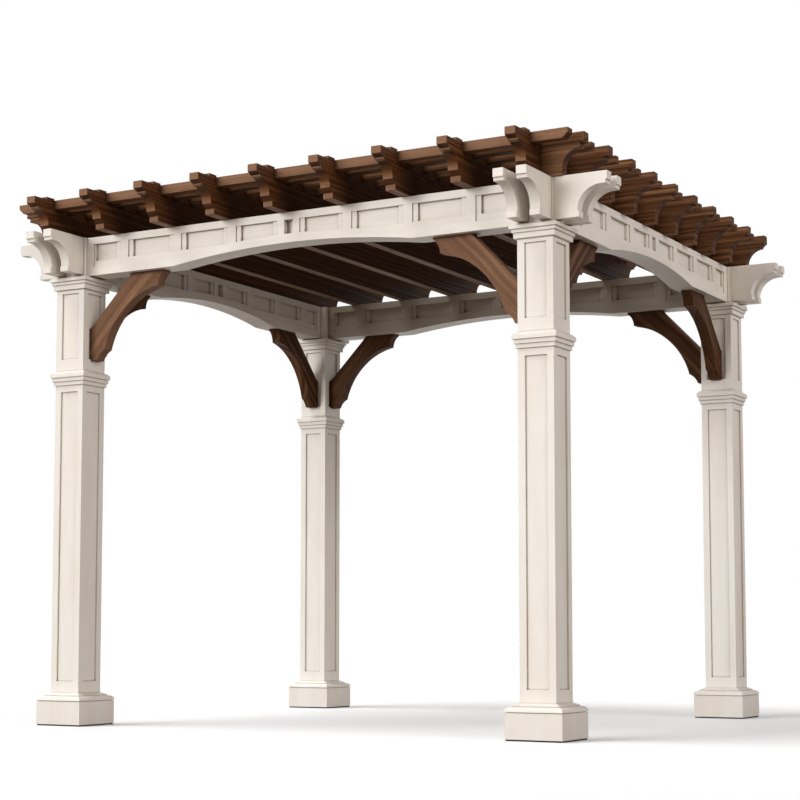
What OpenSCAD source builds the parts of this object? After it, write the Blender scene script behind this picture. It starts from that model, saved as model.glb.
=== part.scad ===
// Open garden pergola: four panelled columns carry arched box beams, and nine rafters
// with coved tails carry a grid of purlins. Millimetres, +Z up, front face towards -Y.

/* [Plan] */
// Distance between column centres along the front
span_x = 2760; // [2300:10:3600]
// Distance between column centres along the sides
span_y = 2470; // [2100:10:3600]
// Height of the capital tops, where the beams rest
capital_top = 2400; // [2250:10:2700]

/* [Column base] */
// Side of the square plinth
plinth_w = 290; // [280:1:360]
// Height of the plinth
plinth_h = 128; // [90:1:180]
// Height of the recessed foot under the plinth
foot_h = 7; // [4:1:14]
// Setback of that foot behind the plinth face
foot_in = 6; // [3:1:12]
// Height of the shadow line over the plinth
shadow_h = 3; // [2:0.5:6]
// Depth of the shadow line behind the plinth face
shadow_in = 8; // [4:1:12]
// Height and radius of the thumb moulding
thumb_r = 24; // [16:1:28]
// Overhang of the thumb moulding past the plinth
thumb_over = 2; // [0:0.5:5]
// Projection of the sloped step from the shaft
base_step_out = 26; // [18:1:28]
// Height of the upright edge of the sloped step
base_step_edge = 5; // [3:1:10]
// Height of the slope above that edge
base_step_slope = 12; // [8:1:20]

/* [Column shaft] */
// Side of the square shaft
shaft_w = 184; // [170:1:200]
// Width of the margin beside each sunk panel
panel_margin = 36; // [26:1:48]
// Depth of the sunk panels in the shaft
panel_depth = 9; // [5:1:14]
// Plain shaft between the base and the lower panel
panel_base_gap = 60; // [30:1:120]
// Plain shaft between the lower panel and the collar
panel_collar_gap = 36; // [20:1:80]
// Plain shaft between the collar and the upper panel
upper_panel_foot = 66; // [30:1:100]
// Plain shaft between the upper panel and the capital
upper_panel_head = 21; // [10:1:60]

/* [Collar] */
// Height of the underside of the collar
collar_z = 1813; // [1650:1:1830]
// Height of each of the three collar fillets
collar_fillet_h = 21; // [14:1:26]
// Projection of the lowest fillet from the shaft
collar_out = 8; // [5:1:14]
// How far each fillet stands out past the one below
collar_step = 7; // [4:1:12]
// Height of the weathered slope on top
collar_slope = 12; // [6:1:20]

/* [Capital] */
// Height of the lower band
capital_band_h = 27; // [18:1:36]
// Projection of the lower band from the shaft
capital_band_out = 14; // [8:1:18]
// Height of the middle fillet
capital_fillet_h = 17; // [10:1:24]
// Projection of the middle fillet from the shaft
capital_fillet_out = 21; // [18:1:26]
// Height of the top slab, slope included
capital_slab_h = 25; // [16:1:34]
// Projection of the top slab from the shaft
capital_slab_out = 30; // [26:1:38]
// Height of the slope along the top of the slab
capital_slope = 8; // [4:1:12]

/* [Beams] */
// Depth of the beams
beam_h = 208; // [180:1:260]
// Thickness of the beams
beam_t = 128; // [100:1:150]
// How far the outer face lies behind the face of the corner pier
beam_setback = 20; // [5:1:30]
// Distance from the column centre to the start of the arch
arch_start = 665; // [645:1:760]
// Rise of the arch at mid span
arch_rise = 53; // [30:1:65]
// Height of the top rail over the panels
top_rail = 38; // [25:1:50]
// Height of the bottom rail under the end bays and along the arch
bottom_rail = 45; // [30:1:60]
// Height of the level rail under the panels
panel_rail = 80; // [65:1:95]
// Width of the stiles between bays
stile_w = 50; // [36:1:64]
// Width of the ledge at each side of a panel
ledge_w = 28; // [16:1:36]
// Width of the ledge on the side of the corner pier
end_ledge_w = 12; // [8:1:20]
// Width of the stile beside the corner pier
end_stile_w = 46; // [30:1:70]
// Number of panel bays in each beam
bay_count = 8; // [4:2:10]
// Width of the middle stile
mid_stile_w = 132; // [110:1:150]
// Width of the slot in the middle stile
mid_slot_w = 50; // [30:1:66]
// Depth of that slot
mid_slot_depth = 38; // [24:1:44]
// Depth of the ledges in the beams
beam_ledge_depth = 6; // [3:1:10]
// Depth of the sunk panels in the beams
beam_panel_depth = 20; // [14:1:28]

/* [Corbels] */
// Thickness of a corbel
corbel_t = 52; // [36:1:64]
// Clear gap between the two corbels of a pair
corbel_gap = 66; // [40:1:80]
// Projection of the corbels from the corner pier
corbel_out = 270; // [220:1:310]
// Height of the nose
corbel_nose_h = 40; // [28:1:55]
// Height of the second step under the nose
corbel_step_h = 18; // [10:1:28]
// Setback of the second step
corbel_step_in = 8; // [4:1:16]
// Projection of the foot from the corner pier
corbel_foot_out = 128; // [90:1:150]
// Height of the foot
corbel_foot_h = 29; // [18:1:45]
// Ledge on top of the foot, where the cove ends behind its face
corbel_ledge = 7; // [3:1:12]
// Clear height between the capital and the corbels
corbel_lift = 6; // [3:1:12]

/* [Knee braces] */
// Thickness of a brace
brace_t = 60; // [45:1:90]
// Reach along the beam from the shaft face
brace_reach = 482; // [450:1:540]
// Drop below the beam to the toe
brace_drop = 453; // [430:1:480]
// Length of the seat under the beam
brace_head = 209; // [180:1:240]
// Height of the seat on the shaft
brace_heel = 174; // [140:1:200]
// Height of the blunt upright end under the beam
brace_tip = 8; // [4:1:20]
// Width of the blunt level end at the toe
brace_toe = 45; // [25:1:60]
// Upper cusp, measured back from the end of the reach
brace_cusp_in = 39; // [30:1:55]
// Drop of the upper cusp below the beam
brace_cusp_drop = 81; // [70:1:95]
// Lower cusp, measured out from the shaft face
brace_cusp_out = 96; // [85:1:105]
// Rise of the lower cusp above the toe
brace_cusp_rise = 55; // [45:1:65]
// Radius of the long hollow between the cusps
brace_hollow_r = 430; // [380:5:800]
// Radius of the short hollows at the ends
brace_end_r = 90; // [70:1:160]

/* [Rafters] */
// Number of rafters
rafter_count = 9; // [5:1:13]
// Distance from the left column line out to the first rafter
rafter_left_out = 56; // [0:1:70]
// Distance from the right column line out to the last rafter
rafter_right_out = 4; // [0:1:70]
// Thickness of a rafter
rafter_t = 54; // [38:1:70]
// Depth of a rafter
rafter_h = 202; // [185:1:235]
// Overhang of the rafters past the column line
rafter_out = 363; // [330:1:450]
// How far the top of the nose lies below the rafter top
rafter_nose_drop = 15; // [6:1:24]
// Length of that lowered top
rafter_nose_len = 100; // [60:1:130]
// Height of the nose
rafter_nose_h = 36; // [24:1:50]
// Height of the second step under the nose
rafter_step_h = 23; // [14:1:30]
// Setback of the second step
rafter_step_in = 30; // [16:1:34]
// Drop of the slope from the nose to the second step
rafter_slope_h = 14; // [6:1:18]
// Setback of the end of the cove from the nose
rafter_cove_in = 114; // [106:1:130]
// Height of the foot under the cove
rafter_foot_h = 50; // [40:1:58]
// Height of the upright face of the foot under its slope
rafter_toe_h = 27; // [20:1:34]
// Setback of that face behind the end of the cove
rafter_undercut = 27; // [6:1:40]

/* [Purlins] */
// Number of evenly spaced purlins
purlin_count = 10; // [6:1:12]
// Width of a purlin
purlin_w = 52; // [36:1:60]
// Height of a purlin
purlin_h = 48; // [36:1:56]
// Distance from the rafter tops down to the purlin tops
purlin_drop = 9; // [4:1:16]
// Overhang of the purlin ends past the outer rafters
purlin_out = 252; // [210:1:290]
// Distance from the column line out to the first and last even purlins
purlin_row_out = 73; // [30:1:90]
// Distance from the column line out to the front and back edge purlins
edge_purlin_out = 177; // [165:1:200]
// How much shorter the edge purlins are at each end
edge_purlin_in = 36; // [0:1:50]
// Clipped lower corner at each end of the edge purlins
edge_purlin_cut = 26; // [6:1:34]
// Width of the slats between the purlins
slat_w = 38; // [24:1:44]
// Height of the slats
slat_h = 36; // [24:1:40]
// Distance from the purlin tops down to the slat tops
slat_drop = 11; // [4:1:16]
// How much shorter the slats are at each end
slat_in = 28; // [10:1:50]

/* [Lookouts] */
// Thickness of a lookout
lookout_t = 50; // [30:1:60]
// Setback of the lookout behind the purlin end
lookout_in = 22; // [10:1:30]
// Height of the step at the end of the lookout
lookout_step_h = 24; // [18:1:30]
// Setback of the lookout foot behind the purlin end
lookout_foot_in = 112; // [106:1:125]
// Height of the lookout foot
lookout_foot_h = 30; // [24:1:36]

/* [Hidden] */

cream = "#e9e1d6";
walnut = "#5f3d27";

$fn = 96;
// Facets of the large arch circles
arch_fn = 720;
// Overrun of every cutting shape past the face that it cuts
over = 1;

// Corner names with the side of the plan on which each one stands
corners = [
    ["front_left", -1, -1],
    ["front_right", 1, -1],
    ["back_left", -1, 1],
    ["back_right", 1, 1]
];

half_x = span_x / 2;
half_y = span_y / 2;
pier = shaft_w / 2;

thumb_z = plinth_h + shadow_h;
base_step_z = thumb_z + thumb_r;
base_top = base_step_z + base_step_edge + base_step_slope;

collar_h = 3 * collar_fillet_h + collar_slope;
collar_top = collar_z + collar_h;
capital_h = capital_band_h + capital_fillet_h + capital_slab_h;
capital_z = capital_top - capital_h;
beam_top = capital_top + beam_h;

panel_w = shaft_w - 2 * panel_margin;
lower_panel_z = base_top + panel_base_gap;
lower_panel_h = collar_z - panel_collar_gap - lower_panel_z;
upper_panel_z = collar_top + upper_panel_foot;
upper_panel_h = capital_z - upper_panel_head - upper_panel_z;

beam_outer = pier - beam_setback;
beam_inner = beam_outer - beam_t;
corbel_h = beam_h - corbel_lift;

rafter_top = beam_top + rafter_h;
rafter_nose_top = rafter_h - rafter_nose_drop;
rafter_row = span_x + rafter_left_out + rafter_right_out;
rafter_mid = (rafter_right_out - rafter_left_out) / 2;
rafter_pitch = rafter_row / (rafter_count - 1);
rafter_half = half_y + rafter_out;
purlin_top = rafter_top - purlin_drop;
purlin_z = purlin_top - purlin_h;
purlin_pitch = (span_y + 2 * purlin_row_out) / (purlin_count - 1);
purlin_half = rafter_row / 2 + purlin_out;
edge_purlin_half = purlin_half - edge_purlin_in;
edge_purlin_y = half_y + edge_purlin_out;
slat_z = purlin_top - slat_drop - slat_h;
lookout_h = purlin_z - beam_top;

function purlin_y(i) = -half_y - purlin_row_out + i * purlin_pitch;
function slat_y(i) = purlin_y(i) + purlin_pitch / 2;
function rafter_x(i) = rafter_mid - rafter_row / 2 + i * rafter_pitch;

// Place and half length of every purlin, with the edge purlins first and last
purlin_rows = [
    [-edge_purlin_y, edge_purlin_half],
    for (i = [0 : purlin_count - 1]) [purlin_y(i), purlin_half],
    [edge_purlin_y, edge_purlin_half]
];

// Centre of the circle of radius r through p and q, on the left of the way from p to q
function arc_centre(p, q, r) =
    let (way = q - p, rise = sqrt(r * r - way * way / 4))
    (p + q) / 2 + rise * [-way[1], way[0]] / norm(way);

// Radius of the arch whose half span is a
function arch_r(a) = (a * a + arch_rise * arch_rise) / (2 * arch_rise);

// Moves its children to a corner, with local +X and +Y pointing out of the plan
module at_corner(c) {
    translate([c[1] * half_x, c[2] * half_y, 0])
        mirror([c[1] < 0 ? 1 : 0, 0, 0])
            mirror([0, c[2] < 0 ? 1 : 0, 0])
                children();
}

// Stands a drawing of X and Z up across the Y axis
module along_x(t) {
    rotate([90, 0, 0])
        linear_extrude(t, center = true)
            children();
}

// Stands a drawing of Y and Z up across the X axis
module along_y(t) {
    rotate([90, 0, 90])
        linear_extrude(t, center = true)
            children();
}

// Square moulding with mitred corners from a symmetric drawing no wider than w
module mitred(w) {
    intersection() {
        along_x(w) children();
        along_y(w) children();
    }
}

// Level band of a moulding drawing
module band(w, z, h) {
    translate([-w / 2, z])
        square([w, h]);
}

// Band of a moulding drawing that narrows from w to top_w
module sloped_band(w, top_w, z, h) {
    polygon([[-w / 2, z], [w / 2, z], [top_w / 2, z + h], [-top_w / 2, z + h]]);
}

// What is cut from a board of a given length and depth to leave a nose, a set-back second
// step, a quarter-round cove and a foot with a ledge at its +X end
module scroll_cuts(length, depth, nose_h, step_h, step_in, foot_in, foot_h, ledge = 0,
        slope_h = 0) {
    nose_z = depth - nose_h;
    cove_top = nose_z - step_h;
    cove_r = cove_top - foot_h;
    foot_x = length - foot_in;
    cove_x = foot_x - ledge + cove_r;
    polygon([
        [length - step_in, -over], [length - step_in, nose_z - slope_h],
        [length, nose_z], [length + over, nose_z], [length + over, -over]
    ]);
    translate([foot_x, -over])
        square([foot_in + over, foot_h + over]);
    intersection() {
        translate([cove_x, foot_h])
            circle(cove_r);
        translate([foot_x - ledge, foot_h])
            square([2 * cove_r, 2 * cove_r]);
    }
    translate([cove_x, -over])
        square([max(length - cove_x, 0) + over, cove_top + over]);
}

module column_base(c) {
    thumb_w = plinth_w + 2 * thumb_over;
    step_w = shaft_w + 2 * base_step_out;
    color(cream)
        at_corner(c)
            mitred(thumb_w) {
                band(plinth_w - 2 * foot_in, 0, plinth_h);
                band(plinth_w, foot_h, plinth_h - foot_h);
                band(plinth_w - 2 * shadow_in, plinth_h, shadow_h);
                band(thumb_w - 2 * thumb_r, thumb_z, thumb_r);
                intersection() {
                    for (side = [-1, 1])
                        translate([side * (thumb_w / 2 - thumb_r), thumb_z])
                            circle(thumb_r);
                    band(thumb_w, thumb_z, thumb_r);
                }
                band(step_w, base_step_z, base_step_edge);
                sloped_band(step_w, shaft_w, base_step_z + base_step_edge, base_step_slope);
            }
}

module column_shaft(c) {
    color(cream)
        at_corner(c)
            difference() {
                translate([-pier, -pier, base_top])
                    cube([shaft_w, shaft_w, beam_top - base_top]);
                for (turn = [0 : 90 : 270])
                    rotate(turn)
                        translate([-panel_w / 2, pier - panel_depth, 0]) {
                            translate([0, 0, lower_panel_z])
                                cube([panel_w, panel_depth + over, lower_panel_h]);
                            translate([0, 0, upper_panel_z])
                                cube([panel_w, panel_depth + over, upper_panel_h]);
                        }
            }
}

// Room for the shaft through a collar or a capital
module shaft_hole(z, h) {
    translate([-pier, -pier, z - over])
        cube([shaft_w, shaft_w, h + 2 * over]);
}

module collar(c) {
    top_w = shaft_w + 2 * (collar_out + 2 * collar_step);
    color(cream)
        at_corner(c)
            difference() {
                mitred(top_w) {
                    for (i = [0 : 2])
                        band(shaft_w + 2 * (collar_out + i * collar_step),
                            collar_z + i * collar_fillet_h, collar_fillet_h);
                    sloped_band(top_w, shaft_w + 2 * collar_out,
                        collar_z + 3 * collar_fillet_h, collar_slope);
                }
                shaft_hole(collar_z, collar_h);
            }
}

module capital(c) {
    slab_w = shaft_w + 2 * capital_slab_out;
    fillet_z = capital_z + capital_band_h;
    slab_z = fillet_z + capital_fillet_h;
    edge_h = capital_slab_h - capital_slope;
    color(cream)
        at_corner(c)
            difference() {
                mitred(slab_w) {
                    band(shaft_w + 2 * capital_band_out, capital_z, capital_band_h);
                    band(shaft_w + 2 * capital_fillet_out, fillet_z, capital_fillet_h);
                    band(slab_w, slab_z, edge_h);
                    sloped_band(slab_w, shaft_w + 2 * capital_band_out,
                        slab_z + edge_h, capital_slope);
                }
                shaft_hole(capital_z, capital_h);
            }
}

// Side of one corbel, drawn outward from the pier
module corbel_side() {
    difference() {
        square([corbel_out, corbel_h]);
        scroll_cuts(corbel_out, corbel_h, corbel_nose_h, corbel_step_h, corbel_step_in,
            corbel_out - corbel_foot_out, corbel_foot_h, corbel_ledge);
    }
}

module corbels(c) {
    color(cream)
        at_corner(c)
            for (side = [-1, 1]) {
                aside = side * (corbel_t + corbel_gap) / 2;
                translate([pier, aside, capital_top + corbel_lift])
                    along_x(corbel_t) corbel_side();
                translate([aside, pier, capital_top + corbel_lift])
                    along_y(corbel_t) corbel_side();
            }
}

// Side of a beam between two piers whose centres lie half_span from its middle
module beam_side(half_span) {
    r = arch_r(half_span - arch_start);
    length = 2 * (half_span - pier);
    difference() {
        band(length, 0, beam_h);
        translate([0, arch_rise - r])
            circle(r, $fn = arch_fn);
    }
}

// Drawing of the bays of a beam face, or of the panels sunk inside their ledges
module beam_fields(half_span, sunk) {
    r = arch_r(half_span - arch_start);
    pitch = 2 * half_span / bay_count;
    side_in = sunk ? ledge_w : 0;
    end_in = pier + end_stile_w + (sunk ? end_ledge_w : 0);
    difference() {
        for (i = [0 : bay_count - 1]) {
            first = i == 0;
            last = i + 1 == bay_count;
            left_w = i == bay_count / 2 ? mid_stile_w : stile_w;
            right_w = i + 1 == bay_count / 2 ? mid_stile_w : stile_w;
            left = first ? end_in : i * pitch + left_w / 2 + side_in;
            right = last ? 2 * half_span - end_in : (i + 1) * pitch - right_w / 2 - side_in;
            rail = !sunk && (first || last) ? bottom_rail : panel_rail;
            translate([left - half_span, rail])
                square([right - left, beam_h - top_rail - rail]);
        }
        translate([0, arch_rise - r])
            circle(r + bottom_rail, $fn = arch_fn);
    }
}

// Drawing of the slot in the middle stile
module mid_slot() {
    bottom = arch_rise + bottom_rail;
    translate([-mid_slot_w / 2, bottom])
        square([mid_slot_w, beam_h - top_rail - bottom]);
}

// Sinks a drawing into the outer and inner face of a beam
module sink(depth) {
    for (face = [beam_outer - depth / 2, beam_inner + depth / 2])
        translate([0, face, 0])
            along_x(depth) children();
}

// Beam along X whose outer face looks towards +Y, seated on the capitals
module box_beam(half_span) {
    color(cream)
        translate([0, 0, capital_top])
            difference() {
                translate([0, (beam_outer + beam_inner) / 2, 0])
                    along_x(beam_t) beam_side(half_span);
                sink(beam_ledge_depth) beam_fields(half_span, false);
                sink(beam_panel_depth) beam_fields(half_span, true);
                sink(mid_slot_depth) mid_slot();
            }
}

module front_beam() {
    translate([0, -half_y, 0])
        rotate(180)
            box_beam(half_x);
}

module back_beam() {
    translate([0, half_y, 0])
        box_beam(half_x);
}

module left_beam() {
    translate([-half_x, 0, 0])
        rotate(90)
            box_beam(half_y);
}

module right_beam() {
    translate([half_x, 0, 0])
        rotate(-90)
            box_beam(half_y);
}

// Side of a brace from the shaft face and the beam underside, with its heel let into the
// sunk panel of the shaft
module brace_side() {
    tip = [brace_reach, -brace_tip];
    upper_cusp = [brace_reach - brace_cusp_in, -brace_cusp_drop];
    lower_cusp = [brace_cusp_out, brace_cusp_rise - brace_drop];
    toe = [brace_toe, -brace_drop];
    heel_z = brace_heel - brace_drop;
    difference() {
        polygon([
            [0, heel_z], [brace_reach - brace_head, 0], [brace_reach, 0],
            tip, upper_cusp, lower_cusp, toe, [0, -brace_drop]
        ]);
        translate(arc_centre(tip, upper_cusp, brace_end_r))
            circle(brace_end_r);
        translate(arc_centre(upper_cusp, lower_cusp, brace_hollow_r))
            circle(brace_hollow_r, $fn = arch_fn);
        translate(arc_centre(lower_cusp, toe, brace_end_r))
            circle(brace_end_r);
    }
    intersection() {
        translate([-panel_depth, -brace_drop])
            square([panel_depth + brace_toe, brace_heel]);
        translate([-panel_depth, upper_panel_z - capital_top])
            square([panel_depth + brace_toe, upper_panel_h]);
    }
}

// Brace under the front or back beam
module brace_along_x(c) {
    color(walnut)
        at_corner(c)
            mirror([1, 0, 0])
                translate([pier, 0, capital_top])
                    along_x(brace_t) brace_side();
}

// Brace under the left or right beam
module brace_along_y(c) {
    color(walnut)
        at_corner(c)
            mirror([0, 1, 0])
                translate([0, pier, capital_top])
                    along_y(brace_t) brace_side();
}

// Side of a rafter with both coved tails and the housings for purlins and slats
module rafter_side() {
    difference() {
        band(2 * rafter_half, 0, rafter_h);
        for (end = [0, 1])
            mirror([end, 0]) {
                scroll_cuts(rafter_half, rafter_nose_top, rafter_nose_h, rafter_step_h,
                    rafter_step_in, rafter_cove_in, rafter_foot_h, slope_h = rafter_slope_h);
                translate([rafter_half - rafter_nose_len, rafter_nose_top])
                    square([rafter_nose_len + over, rafter_nose_drop + over]);
                translate([rafter_half - rafter_cove_in, 0])
                    polygon([
                        [-rafter_undercut, -over], [-rafter_undercut, rafter_toe_h],
                        [0, rafter_foot_h], [over, rafter_foot_h], [over, -over]
                    ]);
            }
        for (row = purlin_rows)
            translate([row[0] - purlin_w / 2, purlin_z - beam_top])
                square([purlin_w, rafter_top - purlin_z + over]);
        for (i = [0 : purlin_count - 2])
            translate([slat_y(i) - slat_w / 2, slat_z - beam_top])
                square([slat_w, rafter_top - slat_z + over]);
    }
}

module rafter(i) {
    color(walnut)
        translate([rafter_x(i), 0, beam_top])
            along_y(rafter_t) rafter_side();
}

module purlins() {
    color(walnut)
        for (row = purlin_rows)
            translate([rafter_mid, row[0], purlin_z])
                along_x(purlin_w)
                    difference() {
                        translate([-row[1], 0])
                            square([2 * row[1], purlin_h]);
                        if (abs(row[0]) == edge_purlin_y)
                            for (side = [-1, 1])
                                polygon([
                                    [side * (row[1] - edge_purlin_cut - over), -over],
                                    [side * (row[1] + over), -over],
                                    [side * (row[1] + over), edge_purlin_cut + over]
                                ]);
                    }
}

module slats() {
    color(walnut)
        for (i = [0 : purlin_count - 2])
            translate([rafter_mid - purlin_half + slat_in, slat_y(i) - slat_w / 2, slat_z])
                cube([2 * (purlin_half - slat_in), slat_w, slat_h]);
}

// Row of lookouts under the even purlins, out from the last rafter towards +X
module lookouts() {
    length = purlin_out - rafter_t / 2;
    for (i = [0 : purlin_count - 1])
        translate([purlin_half - length, purlin_y(i), beam_top])
            along_x(lookout_t)
                difference() {
                    square([length, lookout_h]);
                    scroll_cuts(length, lookout_h, 0, lookout_step_h, lookout_in,
                        lookout_foot_in, lookout_foot_h);
                }
}

module right_lookouts() {
    color(walnut)
        translate([rafter_mid, 0, 0])
            lookouts();
}

module left_lookouts() {
    color(walnut)
        translate([rafter_mid, 0, 0])
            mirror([1, 0, 0])
                lookouts();
}

for (c = corners) {
    column_base(c);
    column_shaft(c);
    collar(c);
    capital(c);
    corbels(c);
}
front_beam();
back_beam();
left_beam();
right_beam();
brace_along_x(corners[0]);  // front_brace_left
brace_along_x(corners[1]);  // front_brace_right
brace_along_x(corners[2]);  // back_brace_left
brace_along_x(corners[3]);  // back_brace_right
brace_along_y(corners[0]);  // left_brace_front
brace_along_y(corners[1]);  // right_brace_front
brace_along_y(corners[2]);  // left_brace_back
brace_along_y(corners[3]);  // right_brace_back
for (i = [0 : rafter_count - 1])
    rafter(i);
purlins();
slats();
left_lookouts();
right_lookouts();
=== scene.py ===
import math

import bpy
import numpy as np
from mathutils import Matrix, Vector


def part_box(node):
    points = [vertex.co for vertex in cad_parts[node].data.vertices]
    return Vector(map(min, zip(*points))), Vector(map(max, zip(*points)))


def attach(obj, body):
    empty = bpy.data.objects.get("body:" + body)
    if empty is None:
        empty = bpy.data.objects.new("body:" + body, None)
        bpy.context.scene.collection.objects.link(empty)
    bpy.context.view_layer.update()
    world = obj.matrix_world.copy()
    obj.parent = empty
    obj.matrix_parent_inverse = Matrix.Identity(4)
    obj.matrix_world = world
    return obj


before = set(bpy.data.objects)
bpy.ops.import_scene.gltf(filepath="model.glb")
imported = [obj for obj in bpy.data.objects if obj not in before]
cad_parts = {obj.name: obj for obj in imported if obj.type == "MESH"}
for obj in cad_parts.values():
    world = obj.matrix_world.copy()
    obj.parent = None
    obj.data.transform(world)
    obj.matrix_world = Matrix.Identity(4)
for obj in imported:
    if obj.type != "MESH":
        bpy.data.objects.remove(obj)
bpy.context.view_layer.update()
scene = bpy.context.scene
scene.view_settings.view_transform = "Standard"
print("loaded", len(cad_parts), "nodes of the pergola")

# the viewpoint: a long lens low in front of the near corner
viewpoint = {
    "place": (4.9756, -9.0145, 0.5217),
    "turn": 29.32,   # degrees to the left of straight ahead
    "tilt": 5.0,     # degrees above level
    "lens": 82.85,
    "rise": 0.0817,  # lens shift that frames the roof
}


def makeCamera(v):
    data = bpy.data.cameras.new("gardenCamera")
    data.sensor_width = 36.0
    data.lens = v["lens"]
    data.shift_y = v["rise"]
    data.clip_end = 300.0
    camera = bpy.data.objects.new("gardenCamera", data)
    camera.location = v["place"]
    camera.rotation_euler = (math.radians(90.0 + v["tilt"]), 0.0, math.radians(v["turn"]))
    scene.collection.objects.link(camera)
    scene.camera = camera


makeCamera(viewpoint)
print("camera placed")


# small helpers for node trees
def feed(tree, node, feeds):
    for key, value in feeds.items():
        if isinstance(value, bpy.types.NodeSocket):
            tree.links.new(value, node.inputs[key])
        else:
            node.inputs[key].default_value = value


def addNode(tree, kind, feeds=None, **props):
    node = tree.nodes.new("ShaderNode" + kind)
    for key, value in props.items():
        setattr(node, key, value)
    feed(tree, node, feeds or {})
    return node


def calc(tree, operation, *values):
    return addNode(tree, "Math", dict(enumerate(values)), operation=operation).outputs[0]


def vecCalc(tree, operation, *values):
    node = addNode(tree, "VectorMath", dict(enumerate(values)), operation=operation)
    return node.outputs["Value" if operation in ("LENGTH", "DOT_PRODUCT") else "Vector"]


def remap(tree, value, fromLow, fromHigh, toLow=0.0, toHigh=1.0):
    feeds = dict(enumerate((value, fromLow, fromHigh, toLow, toHigh)))
    return addNode(tree, "MapRange", feeds, interpolation_type="SMOOTHSTEP").outputs[0]


def blend(tree, amount, first, second, mode="MIX"):
    feeds = {0: amount, 6: first, 7: second}
    return addNode(tree, "Mix", feeds, data_type="RGBA", blend_type=mode).outputs[2]


# a colour laid over the tone where the mask and its share let it show
def layer(tree, tone, mask, share, colour):
    return blend(tree, calc(tree, "MULTIPLY", mask, share), tone, colour)


def noise(tree, vector, scale, detail=2.0, rough=0.55):
    feeds = {"Vector": vector, "Scale": scale, "Detail": detail, "Roughness": rough}
    return addNode(tree, "TexNoise", feeds)


def groupTree(name, takes, gives):
    tree = bpy.data.node_groups.new(name, "ShaderNodeTree")
    for label, kind, value in takes:
        socket = tree.interface.new_socket(label, in_out="INPUT", socket_type="NodeSocket" + kind)
        if value is not None:
            socket.default_value = value
    for label, kind in gives:
        tree.interface.new_socket(label, in_out="OUTPUT", socket_type="NodeSocket" + kind)
    return tree, tree.nodes.new("NodeGroupInput").outputs, tree.nodes.new("NodeGroupOutput").inputs


def useGroup(tree, group, feeds):
    node = tree.nodes.new("ShaderNodeGroup")
    node.node_tree = group
    feed(tree, node, feeds)
    return node.outputs


# one random number and shift for each board: the place is snapped to cells one board wide
def makeBoardSeed():
    tree, start, end = groupTree(
        "boardSeed",
        [("Vector", "Vector", None), ("Offset", "Vector", (0, 0, 0)), ("Cell", "Vector", (0, 0, 0))],
        [("Seed", "Float"), ("Shift", "Vector")])
    moved = vecCalc(tree, "ADD", start["Vector"], start["Offset"])
    cell = vecCalc(tree, "SNAP", moved, start["Cell"])
    dice = addNode(tree, "TexWhiteNoise", {"Vector": cell}, noise_dimensions="3D")
    tree.links.new(dice.outputs["Value"], end["Seed"])
    tree.links.new(dice.outputs["Color"], end["Shift"])
    return tree


# sawn timber, X along the board: growth bands are shells of distance from a swaying heart
# line beside the board, and fibres and pores are noise drawn out along it
def makeBoardGrain():
    tree, start, end = groupTree(
        "boardGrain",
        [("Vector", "Vector", None), ("Shift", "Vector", (0, 0, 0)),
         ("Ring Pitch", "Float", 0.012), ("Sway", "Float", 0.03)],
        [("Bands", "Float"), ("Fibre", "Float"), ("Pores", "Float")])
    centred = vecCalc(tree, "SUBTRACT", start["Shift"], (0.5, 0.5, 0.5))
    moved = vecCalc(tree, "MULTIPLY_ADD", centred, (23.0, 0.42, 0.42), start["Vector"])
    slow = noise(tree, vecCalc(tree, "MULTIPLY", moved, (0.9, 2.4, 2.4)), 1.0, 2.0)
    sway = vecCalc(tree, "SUBTRACT", slow.outputs["Color"], (0.5, 0.5, 0.5))
    reach = addNode(tree, "CombineXYZ", {"Y": start["Sway"], "Z": start["Sway"]}).outputs[0]
    swayed = vecCalc(tree, "MULTIPLY_ADD", sway, reach, moved)
    heart = vecCalc(tree, "LENGTH", vecCalc(tree, "MULTIPLY", swayed, (0.0, 1.0, 1.0)))
    rings = addNode(tree, "TexNoise",
                    {"W": calc(tree, "DIVIDE", heart, start["Ring Pitch"]), "Scale": 1.0,
                     "Detail": 2.5, "Roughness": 0.6}, noise_dimensions="1D")
    fibre = noise(tree, vecCalc(tree, "MULTIPLY", swayed, (3.2, 170.0, 170.0)), 1.0, 3.0, 0.6)
    pores = noise(tree, vecCalc(tree, "MULTIPLY", moved, (22.0, 720.0, 720.0)), 1.0, 1.0)
    tree.links.new(rings.outputs["Fac"], end["Bands"])
    tree.links.new(fibre.outputs["Fac"], end["Fibre"])
    tree.links.new(remap(tree, pores.outputs["Fac"], 0.6, 0.74), end["Pores"])
    return tree


# eased arrises: the normal is rounded near an edge, and the wear is how far it turned; on the cream it
# lays paler paint that is partly wear and partly a painted highlight
def makeSoftArris():
    tree, start, end = groupTree(
        "softArris", [("Vector", "Vector", None), ("Radius", "Float", 0.003)],
        [("Normal", "Vector"), ("WearAndHighlight", "Float")])
    rounded = addNode(tree, "Bevel", {"Radius": start["Radius"]}, samples=6).outputs[0]
    flat = addNode(tree, "NewGeometry").outputs["Normal"]
    turned = remap(tree, vecCalc(tree, "DOT_PRODUCT", rounded, flat), 0.985, 0.86)
    patch = remap(tree, noise(tree, start["Vector"], 16.0, 3.0).outputs["Fac"], 0.38, 0.62)
    tree.links.new(rounded, end["Normal"])
    tree.links.new(calc(tree, "MULTIPLY", turned, patch), end["WearAndHighlight"])
    return tree


# dirt and painted shade in corners: how much of the near surroundings closes a point in
def makeCornerDirtAndShade():
    tree, start, end = groupTree("cornerDirtAndShade", [("Reach", "Float", 0.02)], [("Mask", "Float")])
    shade = addNode(tree, "AmbientOcclusion", {"Distance": start["Reach"]}, samples=6)
    tree.links.new(remap(tree, shade.outputs["AO"], 0.93, 0.42), end["Mask"])
    return tree


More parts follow.
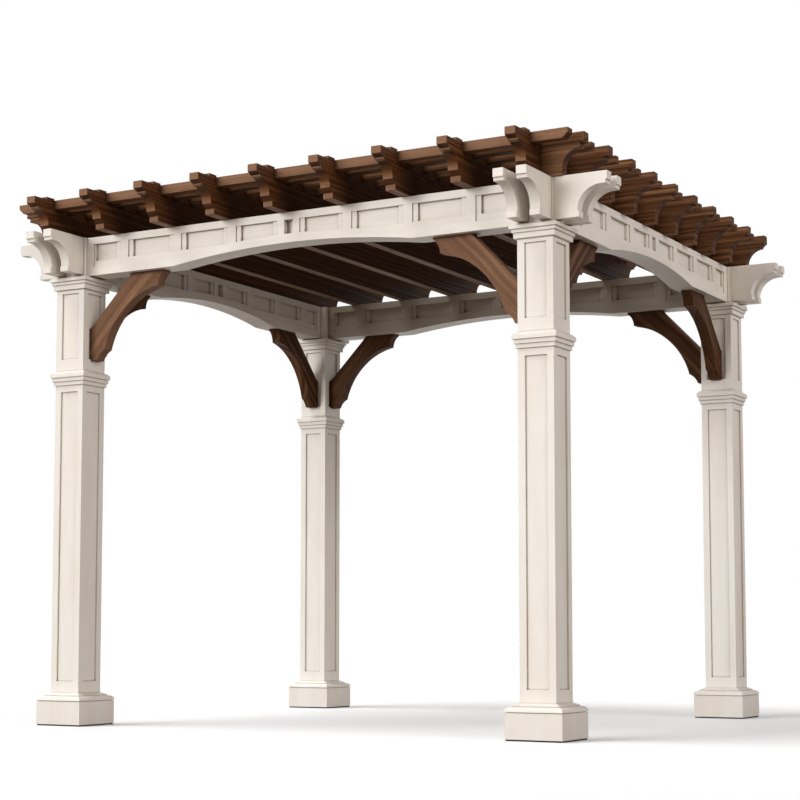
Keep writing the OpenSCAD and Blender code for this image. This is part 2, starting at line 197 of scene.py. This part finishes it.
# dust from above: patches of noise on what faces the sky
def makeSkyDust():
    tree, start, end = groupTree("skyDust", [("Vector", "Vector", None)], [("Mask", "Float")])
    normal = addNode(tree, "NewGeometry").outputs["Normal"]
    up = remap(tree, addNode(tree, "SeparateXYZ", {0: normal}).outputs["Z"], 0.2, 0.95)
    patch = remap(tree, noise(tree, start["Vector"], 5.0, 4.0).outputs["Fac"], 0.25, 0.75)
    tree.links.new(calc(tree, "MULTIPLY", up, patch), end["Mask"])
    return tree


# masks for weather, painted light and painted shade on the roof: the ends past the columns lie open, and
# the faces differ by where they look
def makeRoofWeatherAndLight():
    tree, start, end = groupTree(
        "roofWeatherAndLight",
        [("Vector", "Vector", None), ("Shelter", "Vector", (1, 1, 1)), ("Reach", "Float", 0.15)],
        [("Open", "Float"), ("Fore", "Float"), ("Front", "Float"), ("Side", "Float"),
         ("Under", "Float"), ("Hang", "Float"), ("Cove", "Float")])
    past = vecCalc(tree, "SUBTRACT", vecCalc(tree, "ABSOLUTE", start["Vector"]), start["Shelter"])
    parts = addNode(tree, "SeparateXYZ", {0: past}).outputs
    outside = calc(tree, "MAXIMUM", parts["X"], parts["Y"])
    normal = addNode(tree, "NewGeometry").outputs["Normal"]
    turned = addNode(tree, "SeparateXYZ", {0: vecCalc(tree, "ABSOLUTE", normal)}).outputs
    down = addNode(tree, "SeparateXYZ", {0: normal}).outputs["Z"]
    tree.links.new(remap(tree, outside, 0.0, start["Reach"]), end["Open"])
    tree.links.new(remap(tree, parts["Y"], 0.0, start["Reach"]), end["Fore"])
    tree.links.new(remap(tree, turned["Y"], 0.975, 0.998), end["Front"])
    tree.links.new(remap(tree, turned["X"], 0.70, 0.97), end["Side"])
    flat = remap(tree, down, -0.95, -0.99)
    hang = calc(tree, "SUBTRACT", remap(tree, down, -0.15, -0.60), flat)
    tree.links.new(flat, end["Under"])
    tree.links.new(hang, end["Hang"])
    tree.links.new(remap(tree, turned["Y"], 0.45, 0.90), end["Cove"])
    return tree


boardSeed = makeBoardSeed()
boardGrain = makeBoardGrain()
softArris = makeSoftArris()
cornerDirtAndShade = makeCornerDirtAndShade()
skyDust = makeSkyDust()
roofWeatherAndLight = makeRoofWeatherAndLight()
print("shared effects built")

# turns that lay the grain along a board; slanting braces first fold left and right together
quarter = math.pi / 2
acrossZ = Matrix.Rotation(-quarter, 3, "Z")
alongSlant = Matrix.Rotation(1.5 * quarter, 3, "Y")
grainTurns = {
    "x": (0.0, 0.0, 0.0),
    "y": tuple(acrossZ.to_euler()),
    "z": tuple(Matrix.Rotation(quarter, 3, "Y").to_euler()),
    "slantX": tuple(alongSlant.to_euler()),
    "slantY": tuple((alongSlant @ acrossZ).to_euler()),
}


def newFinish(name):
    finish = bpy.data.materials.new(name)
    finish.use_nodes = True
    tree = finish.node_tree
    tree.nodes.clear()
    shader = addNode(tree, "BsdfPrincipled")
    addNode(tree, "OutputMaterial", {"Surface": shader.outputs[0]})
    return finish, tree, shader


def boardPlace(tree, axis, cell, offset=(0.0, 0.0, 0.0)):
    place = addNode(tree, "TexCoord").outputs["Object"]
    folded = vecCalc(tree, "ABSOLUTE", place) if axis.startswith("slant") else place
    along = addNode(tree, "Mapping", {"Vector": folded, "Rotation": grainTurns[axis]}).outputs[0]
    seed = useGroup(tree, boardSeed, {"Vector": place, "Offset": offset, "Cell": cell})
    return place, along, seed


cream = {
    "warm": (0.792, 0.738, 0.672, 1.0),
    "fibre": (0.70, 0.63, 0.55, 1.0),
    # paler paint on the edges, partly wear and partly a painted highlight
    "bareAndHighlight": (0.885, 0.860, 0.810, 1.0),
    "dust": (0.62, 0.56, 0.49, 1.0),
    # corner dirt and painted shade in hollows and on the walls of sunk panels
    "dirtAndShade": (0.18, 0.120, 0.076, 1.0),
    "paintedShade": (0.48, 0.44, 0.39, 1.0),   # painted shade on beam faces that look in under the roof or down
    "streakShare": 0.22,    # from here to the share of dirt and painted shade on a beam's inner face, how strongly each layer shows
    "fibreShare": 0.07,
    "bareAndHighlightShare": 0.5,
    "dustShare": 0.35,
    "splashShare": 0.28,
    "panelDirtAndShade": 0.22,      # corner dirt and painted shade on the floors of a beam's sunk panels
    "innerDirtAndShade": 0.7,       # corner dirt and painted shade on a beam's inner face
    "splashTop": 0.16,      # metres above the ground
    "patch": (1.6, 7.5, 7.5),       # patches and brush marks in a metre, along and across
    "brush": (9.0, 420.0, 420.0),
    "arris": 0.0022,        # metres of easing on the edges
    "brushBump": 0.16,
    "gloss": 0.42,
}


# oil paint on planed boards: the grain shows faintly through brush marks; a beam, which looks
# along face, keeps dirt and painted shade on the walls of its sunk panels and has painted shade inside
# and below
def makeCreamPaint(name, axis, cell, fresh, reach, grimeAndShade, face=(0.0, 0.0, 0.0), shelter=0.0,
                   soffit=0.0):
    finish, tree, shader = newFinish(name)
    place, along, seed = boardPlace(tree, axis, cell)
    grain = useGroup(tree, boardGrain, {"Vector": along, "Shift": seed["Shift"],
                                        "Ring Pitch": 0.016, "Sway": 0.02})
    arris = useGroup(tree, softArris, {"Vector": place, "Radius": cream["arris"]})
    corner = useGroup(tree, cornerDirtAndShade, {"Reach": reach})
    dust = useGroup(tree, skyDust, {"Vector": place})
    patch = noise(tree, vecCalc(tree, "MULTIPLY", along, cream["patch"]), 1.0, 4.0, 0.6).outputs["Fac"]
    brush = noise(tree, vecCalc(tree, "MULTIPLY", along, cream["brush"]), 1.0, 2.0).outputs["Fac"]
    # which way the surface looks, and what corner dirt and painted shade it keeps
    normal = addNode(tree, "NewGeometry").outputs["Normal"]
    facing = calc(tree, "ABSOLUTE", vecCalc(tree, "DOT_PRODUCT", normal, face))
    inward = vecCalc(tree, "DOT_PRODUCT", vecCalc(tree, "MULTIPLY", normal, face), place)
    inside = remap(tree, inward, -0.4, -1.0)
    down = addNode(tree, "SeparateXYZ", {0: normal}).outputs["Z"]
    below = remap(tree, down, -0.6, -0.95, 0.0, soffit)
    # painted shade on a beam's inner faces and soffits
    paintedShade = calc(tree, "MAXIMUM", calc(tree, "MULTIPLY", inside, shelter), below)
    # dirt and painted shade: full on the walls of recesses, less on panel floors, more on inner faces
    walls = remap(tree, facing, 1.0, 0.4, cream["panelDirtAndShade"] * grimeAndShade, grimeAndShade)
    kept = calc(tree, "MAXIMUM", walls, calc(tree, "MULTIPLY", inside, cream["innerDirtAndShade"]))
    soilAndShade = calc(tree, "MULTIPLY", corner["Mask"], kept)
    height = addNode(tree, "SeparateXYZ", {0: place}).outputs["Z"]
    splash = calc(tree, "MULTIPLY", remap(tree, height, cream["splashTop"], 0.0), patch)
    # the colour, layer on layer
    tone = blend(tree, remap(tree, patch, 0.32, 0.70), fresh, cream["warm"])
    tone = blend(tree, remap(tree, grain["Bands"], 0.52, 0.80, 0.0, cream["streakShare"]), tone,
                 cream["warm"])
    tone = layer(tree, tone, grain["Fibre"], cream["fibreShare"], cream["fibre"])
    # paler edges: partly wear, partly a painted highlight
    tone = layer(tree, tone, arris["WearAndHighlight"], cream["bareAndHighlightShare"], cream["bareAndHighlight"])
    tone = layer(tree, tone, dust["Mask"], cream["dustShare"], cream["dust"])
    tone = layer(tree, tone, splash, cream["splashShare"], cream["dust"])
    # painted shade inside and below
    tone = blend(tree, paintedShade, tone, cream["paintedShade"], "MULTIPLY")
    # corner dirt and painted shade laid over the tone
    tone = blend(tree, soilAndShade, tone, cream["dirtAndShade"])
    rough = calc(tree, "ADD", remap(tree, brush, 0.3, 0.7, 0.42, 0.54),
                 calc(tree, "MULTIPLY", soilAndShade, 0.2))
    relief = calc(tree, "MULTIPLY_ADD", grain["Fibre"], 0.6, calc(tree, "MULTIPLY", brush, 0.4))
    bump = addNode(tree, "Bump", {"Strength": cream["brushBump"], "Distance": 0.0012,
                                  "Height": relief, "Normal": arris["Normal"]})
    feed(tree, shader, {"Base Color": tone, "Roughness": rough, "Normal": bump.outputs[0],
                        "Specular IOR Level": cream["gloss"]})
    return finish


walnut = {
    "heart": (0.052, 0.0195, 0.0072, 1.0),
    "mid": (0.150, 0.063, 0.025, 1.0),
    "sap": (0.315, 0.150, 0.066, 1.0),
    "pore": (0.024, 0.0105, 0.0045, 1.0),
    # pale tone: sun bleaching, and painted light on the front faces and front braces
    "bleachAndLight": (0.265, 0.150, 0.094, 1.0),
    # painted light: a paler, greyer tone on the flat undersides of the rafters
    "underLight": (0.240, 0.155, 0.100, 1.0),
    "dust": (0.270, 0.195, 0.135, 1.0),
    # corner dirt and painted shade, near black, in the hollows
    "dirtAndShade": (0.014, 0.0065, 0.003, 1.0),
    "shade": (0.46, 0.43, 0.40, 1.0),       # timbers under the roof
    "sideShade": (0.60, 0.50, 0.38, 1.0),   # faces to left and right
    "hangShade": (0.40, 0.33, 0.27, 1.0),   # sloping undersides
    "deepShade": (0.48, 0.44, 0.40, 1.0),   # braces behind the front row
    "shelter": (1.30, 1.28, 9.0),           # metres from the middle to where the painted shade under the roof ends and weather and painted light start
    "reach": 0.20,
    "frontLight": 0.8,      # how much of the shade the faces to front and back lose
    "coveLightShare": 0.5,       # painted light in the coves; from here to the share of corner dirt and painted shade, how strongly each layer shows
    # sun bleaching and painted light on the braces of the front row
    "braceBleachAndLight": 0.5,
    "wearShare": 0.2,
    "poreShare": 0.5,
    "dustShare": 0.4,
    "dirtAndShadeShare": 0.8,
    "dirtAndShadeReach": 0.030,     # metres that the corner dirt and painted shade reach
    "arris": 0.0035,
    "grainBump": 0.26,
    "gloss": 0.09,
}


# a roof timber: painted shade under the roof and on its sides and slopes, painted light on its
# flat undersides and in its coves, and sun bleaching with painted light on the faces to front and back
def paintRoofWeatherAndLight(tree, tone, place, grain, mixed, underLight):
    weatherAndLight = useGroup(tree, roofWeatherAndLight, {"Vector": place, "Shelter": walnut["shelter"],
                                           "Reach": walnut["reach"]})
    covered = calc(tree, "SUBTRACT", 1.0, weatherAndLight["Open"])
    unlit = calc(tree, "MULTIPLY_ADD", weatherAndLight["Front"], -walnut["frontLight"], 1.0)
    patchy = remap(tree, mixed, 0.3, 0.7, 0.45 * underLight, 0.8 * underLight)
    streaks = remap(tree, grain["Fibre"], 0.25, 0.60, 0.30, 0.75)
    cove = calc(tree, "MULTIPLY", weatherAndLight["Fore"], weatherAndLight["Cove"])
    front = calc(tree, "MULTIPLY", weatherAndLight["Fore"], weatherAndLight["Front"])
    # painted shade under the roof, less on faces to front and back, and on faces to left and right
    tone = blend(tree, calc(tree, "MULTIPLY", covered, unlit), tone, walnut["shade"], "MULTIPLY")
    tone = blend(tree, weatherAndLight["Side"], tone, walnut["sideShade"], "MULTIPLY")
    # painted light in the coves past the front
    tone = layer(tree, tone, cove, walnut["coveLightShare"], walnut["sap"])
    tone = blend(tree, weatherAndLight["Hang"], tone, walnut["hangShade"], "MULTIPLY")
    # painted light on the flat undersides
    tone = layer(tree, tone, weatherAndLight["Under"], patchy, walnut["underLight"])
    # sun bleaching and painted light on the faces to front and back past the roof's edge
    return layer(tree, tone, front, streaks, walnut["bleachAndLight"])


# a brace: paler in the front row from sun bleaching and painted light, with painted shade past deepFrom,
# which is measured from front to back
def paintBraceLightAndShade(tree, tone, place, deepFrom):
    back = addNode(tree, "SeparateXYZ", {0: place}).outputs["Y"]
    pale = remap(tree, back, deepFrom, deepFrom + 0.5, walnut["braceBleachAndLight"], 0.0)
    deep = remap(tree, back, deepFrom, deepFrom + 0.5)
    # painted light on the front row, painted shade behind it
    tone = blend(tree, pale, tone, walnut["bleachAndLight"])
    return blend(tree, deep, tone, walnut["deepShade"], "MULTIPLY")


# oil stain on sawn boards: soft light and dark bands, open pores and its own share of weather, painted
# light and painted shade
def makeWalnutStain(name, axis, cell, offset=(0.0, 0.0, 0.0), rings=0.018, sway=0.06, vary=0.30,
                    underLight=0.0, deepFrom=None):
    finish, tree, shader = newFinish(name)
    place, along, seed = boardPlace(tree, axis, cell, offset)
    grain = useGroup(tree, boardGrain, {"Vector": along, "Shift": seed["Shift"],
                                        "Ring Pitch": rings, "Sway": sway})
    arris = useGroup(tree, softArris, {"Vector": place, "Radius": walnut["arris"]})
    corner = useGroup(tree, cornerDirtAndShade, {"Reach": walnut["dirtAndShadeReach"]})
    dust = useGroup(tree, skyDust, {"Vector": place})
    fine = calc(tree, "MULTIPLY", grain["Fibre"], 0.38)
    mixed = calc(tree, "MULTIPLY_ADD", grain["Bands"], 0.62, fine)
    tone = blend(tree, remap(tree, mixed, 0.30, 0.56), walnut["heart"], walnut["mid"])
    tone = blend(tree, remap(tree, mixed, 0.48, 0.74), tone, walnut["sap"])
    tone = blend(tree, remap(tree, seed["Seed"], 0.0, 1.0, 0.0, vary), tone, walnut["heart"])
    if deepFrom is None:
        tone = paintRoofWeatherAndLight(tree, tone, place, grain, mixed, underLight)
    else:
        tone = paintBraceLightAndShade(tree, tone, place, deepFrom)
    tone = layer(tree, tone, arris["WearAndHighlight"], walnut["wearShare"], walnut["bleachAndLight"])
    tone = layer(tree, tone, grain["Pores"], walnut["poreShare"], walnut["pore"])
    tone = layer(tree, tone, dust["Mask"], walnut["dustShare"], walnut["dust"])
    # corner dirt and painted shade
    tone = layer(tree, tone, corner["Mask"], walnut["dirtAndShadeShare"], walnut["dirtAndShade"])
    rough = calc(tree, "ADD", remap(tree, mixed, 0.35, 0.65, 0.66, 0.5),
                 calc(tree, "MULTIPLY", grain["Pores"], 0.2))
    relief = calc(tree, "SUBTRACT", mixed, calc(tree, "MULTIPLY", grain["Pores"], 0.4))
    bump = addNode(tree, "Bump", {"Strength": walnut["grainBump"], "Distance": 0.002,
                                  "Height": relief, "Normal": arris["Normal"]})
    feed(tree, shader, {"Base Color": tone, "Roughness": rough, "Normal": bump.outputs[0],
                        "Specular IOR Level": walnut["gloss"]})
    return finish


# cells that part the boards: the rafters stand 352.5 mm apart, purlins and slats 145.3 mm
rafterCell = {"cell": (0.3525, 0.0, 0.0), "offset": (1.6123, 0.0, 0.0)}
purlinCell = {"cell": (0.0, 0.14533, 0.0), "offset": (0.0, 1.38067, 0.0)}
lookoutCell = {"cell": (2.0, 0.14533, 0.0), "offset": (0.0, 1.38067, 0.0)}
braceLook = {"cell": (2.0, 2.0, 0.0), "rings": 0.034, "sway": 0.13, "vary": 0.05}

# reach and strength of the corner dirt and painted shade that darken hollows and recess walls
uprightLook = {"cell": (2.0, 2.0, 0.0), "fresh": (0.838, 0.812, 0.770, 1.0), "reach": 0.011,
               "grimeAndShade": 0.76}
# painted light: the beams get a paler cream than the columns
litBeamTone = (0.900, 0.866, 0.812, 1.0)
# shelter and soffit set the painted shade on a beam's inner and lower faces
frontLook = {"cell": (0.0, 2.0, 0.0), "fresh": litBeamTone, "reach": 0.026, "grimeAndShade": 0.94,
             "face": (0.0, 1.0, 0.0), "shelter": 1.0, "soffit": 0.16}
sideLook = {"cell": (2.0, 0.0, 0.0), "fresh": litBeamTone, "reach": 0.021, "grimeAndShade": 0.62,
            "face": (1.0, 0.0, 0.0), "soffit": 0.60}
# a slightly darker cream and a long reach of corner dirt and painted shade for the corbels' coves
corbelLook = {"cell": (2.0, 2.0, 0.0), "fresh": (0.835, 0.800, 0.745, 1.0), "reach": 0.075,
              "grimeAndShade": 0.40}

creamUpright = makeCreamPaint("creamUpright", "z", **uprightLook)
creamCorbel = makeCreamPaint("creamCorbel", "z", **corbelLook)
creamAlongX = makeCreamPaint("creamAlongX", "x", **frontLook)
creamAlongY = makeCreamPaint("creamAlongY", "y", **sideLook)
# the rafters take the painted light on their undersides
walnutRafter = makeWalnutStain("walnutRafter", "y", **rafterCell, underLight=1.0)
walnutPurlin = makeWalnutStain("walnutPurlin", "x", **purlinCell)
walnutLookout = makeWalnutStain("walnutLookout", "x", **lookoutCell)
walnutBraceX = makeWalnutStain("walnutBraceX", "slantX", **braceLook, deepFrom=-0.9)
walnutBraceY = makeWalnutStain("walnutBraceY", "slantY", **braceLook, deepFrom=-2.0)

finishes = [
    (("column_", "collar_", "capital_"), creamUpright),
    (("corbels_",), creamCorbel),
    (("front_beam", "back_beam"), creamAlongX),
    (("left_beam", "right_beam"), creamAlongY),
    (("rafter_",), walnutRafter),
    (("purlins", "slats"), walnutPurlin),
    (("left_lookouts", "right_lookouts"), walnutLookout),
    (("front_brace", "back_brace"), walnutBraceX),
    (("left_brace", "right_brace"), walnutBraceY),
]
for names, finish in finishes:
    for nodeName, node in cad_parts.items():
        if nodeName.startswith(names):
            node.data.materials.clear()
            node.data.materials.append(finish)
print("finishes laid on the nodes")


# dark pads in the recess under the plinths: a near-black sheet put where there is only shade, as painted
# shade
footShadowPads = {
    "bottom": 0.0002,
    "top": 0.0066,
    "inside": 0.1392,    # metres from the column centre
    "outside": 0.1412,
    "round": 0.0009,
    "dark": (0.010, 0.009, 0.008, 1.0),
    "speckTone": (0.030, 0.026, 0.022, 1.0),
    "bump": 0.3,
}


# speckled near-black rubber for the pads that stand in for the shade under the plinths
def makeShadowPadRubber(p):
    finish, tree, shader = newFinish("shadowPadRubber")
    place = addNode(tree, "TexCoord").outputs["Object"]
    speck = noise(tree, place, 140.0, 4.0, 0.6).outputs["Fac"]
    tone = blend(tree, remap(tree, speck, 0.35, 0.7), p["dark"], p["speckTone"])
    bump = addNode(tree, "Bump", {"Strength": p["bump"], "Distance": 0.0006, "Height": speck})
    feed(tree, shader, {"Base Color": tone, "Roughness": remap(tree, speck, 0.3, 0.7, 0.75, 0.9),
                        "Normal": bump.outputs[0]})
    return finish


# a profile of half width and height carried round a square path, mitred at the corners:
# each point of the profile gives one square at its own half width and height
def sweptSquares(centres, profile):
    corners = np.array([(-1, -1), (1, -1), (1, 1), (-1, 1)], float)
    flat = profile[:, None, :1] * corners[None]
    ring = np.concatenate([flat, np.broadcast_to(profile[:, None, 1:], flat.shape[:2] + (1,))], 2)
    points = ring[None] + np.c_[centres, np.zeros(len(centres))][:, None, None, :]
    rows, turns = len(profile), 4
    index = np.arange(rows * turns).reshape(rows, turns)
    below, above = index, np.roll(index, -1, 0)
    quads = np.stack([below, np.roll(below, -1, 1), np.roll(above, -1, 1), above], 2).reshape(-1, 4)
    start = np.arange(len(centres)) * rows * turns
    return points.reshape(-1, 3), (quads[None] + start[:, None, None]).reshape(-1, 4)


def putMesh(name, points, quads, finish):
    mesh = bpy.data.meshes.new(name)
    mesh.from_pydata(points.tolist(), [], quads.tolist())
    mesh.validate()
    mesh.materials.append(finish)
    piece = bpy.data.objects.new(name, mesh)
    scene.collection.objects.link(piece)
    return piece


def makeFootShadowPads(p):
    r = p["round"]
    bend = np.linspace(-quarter, quarter, 9)
    outer = np.c_[p["outside"] - r + r * np.cos(bend), (p["bottom"] + p["top"]) / 2
                  + ((p["top"] - p["bottom"]) / 2 - r) * np.sign(bend) + r * np.sin(bend)]
    inner = np.array([(p["inside"], p["top"]), (p["inside"], p["bottom"])])
    profile = np.concatenate([outer, inner])
    bases = [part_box(n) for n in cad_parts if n.startswith("column_base")]
    centres = np.array([((lo.x + hi.x) / 2, (lo.y + hi.y) / 2) for lo, hi in bases])
    points, quads = sweptSquares(centres, profile)
    pads = putMesh("footShadowPads", points, quads, makeShadowPadRubber(p))
    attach(pads, "root")


makeFootShadowPads(footShadowPads)
print("foot pads made")

studio = {
    "floorSize": 90.0,
    "floorTone": (0.78, 0.795, 0.815, 1.0),
    "floorGlow": 0.23,       # plain white that the camera sees besides the lit floor
    "floorShade": 0.40,      # what is left of it deep under the roof
    "shadeReach": 3.2,       # metres that the soft shade reaches
    "floorBounce": (0.24, 0.21, 0.18, 1.0),
    "skyTone": (1.0, 0.93, 0.86, 1.0),
    "skyLevel": 0.2,
}

# soft lamps: where each one stands, its level, tone and spread in degrees
lamps = {
    "keyLamp": {"from": (-0.38, -0.88, 0.17), "level": 1.75, "tone": (1.0, 0.99, 0.975), "spread": 30.0},
    "topLamp": {"from": (-0.43, -0.30, 1.0), "level": 2.0, "tone": (1.0, 0.99, 0.98), "spread": 30.0},
    "sideLamp": {"from": (0.90, -0.38, 0.18), "level": 1.5, "tone": (1.0, 0.94, 0.90), "spread": 40.0},
    "backLamp": {"from": (-0.62, 0.66, 0.30), "level": 0.9, "tone": (1.0, 0.97, 0.94), "spread": 40.0},
}


# what the camera, a reflection or glass sees, as one number
def seenRay(tree):
    path = addNode(tree, "LightPath").outputs
    seen = calc(tree, "MAXIMUM", path["Is Camera Ray"], path["Is Glossy Ray"])
    return calc(tree, "MAXIMUM", seen, path["Is Transmission Ray"])


def makeWorld(s):
    world = bpy.data.worlds.new("paleStudio")
    world.use_nodes = True
    tree = world.node_tree
    tree.nodes.clear()
    light = addNode(tree, "Background", {"Color": s["skyTone"], "Strength": s["skyLevel"]})
    white = addNode(tree, "Background", {"Color": (1.0, 1.0, 1.0, 1.0), "Strength": 1.0})
    both = addNode(tree, "MixShader", {0: seenRay(tree), 1: light.outputs[0], 2: white.outputs[0]})
    addNode(tree, "OutputWorld", {"Surface": both.outputs[0]})
    scene.world = world


def makeLamp(name, s):
    data = bpy.data.lights.new(name, "SUN")
    data.energy = s["level"]
    data.color = s["tone"]
    data.angle = math.radians(s["spread"])
    lamp = bpy.data.objects.new(name, data)
    lamp.rotation_euler = Vector(s["from"]).to_track_quat("Z", "Y").to_euler()
    scene.collection.objects.link(lamp)


# a level sheet: both parameters run straight across the floor; the camera sees it white, with
# soft shade where the roof and the feet close it in
def makeFloor(s):
    steps = np.linspace(-s["floorSize"] / 2, s["floorSize"] / 2, 25)
    across, along = np.meshgrid(steps, steps)
    points = np.c_[across.ravel(), along.ravel(), np.full(across.size, -0.0004)]
    index = np.arange(across.size).reshape(across.shape)
    quads = np.stack([index[:-1, :-1], index[:-1, 1:], index[1:, 1:], index[1:, :-1]], 2).reshape(-1, 4)
    finish = bpy.data.materials.new("paleFloor")
    finish.use_nodes = True
    tree = finish.node_tree
    tree.nodes.clear()
    shown = addNode(tree, "BsdfDiffuse", {"Color": s["floorTone"]})
    around = addNode(tree, "AmbientOcclusion", {"Distance": s["shadeReach"]}, samples=12)
    openness = around.outputs["AO"]
    shade = remap(tree, openness, 0.25, 1.0, s["floorShade"], 1.0)
    light = calc(tree, "MULTIPLY", shade, s["floorGlow"])
    glow = addNode(tree, "Emission", {"Color": (1.0, 1.0, 1.0, 1.0), "Strength": light})
    pale = addNode(tree, "AddShader", {0: shown.outputs[0], 1: glow.outputs[0]})
    bounce = addNode(tree, "BsdfDiffuse", {"Color": s["floorBounce"]})
    both = addNode(tree, "MixShader", {0: seenRay(tree), 1: bounce.outputs[0], 2: pale.outputs[0]})
    addNode(tree, "OutputMaterial", {"Surface": both.outputs[0]})
    floor = putMesh("paleFloor", points, quads, finish)


makeWorld(studio)
for lampName, values in lamps.items():
    makeLamp(lampName, values)
makeFloor(studio)
print("studio lit")
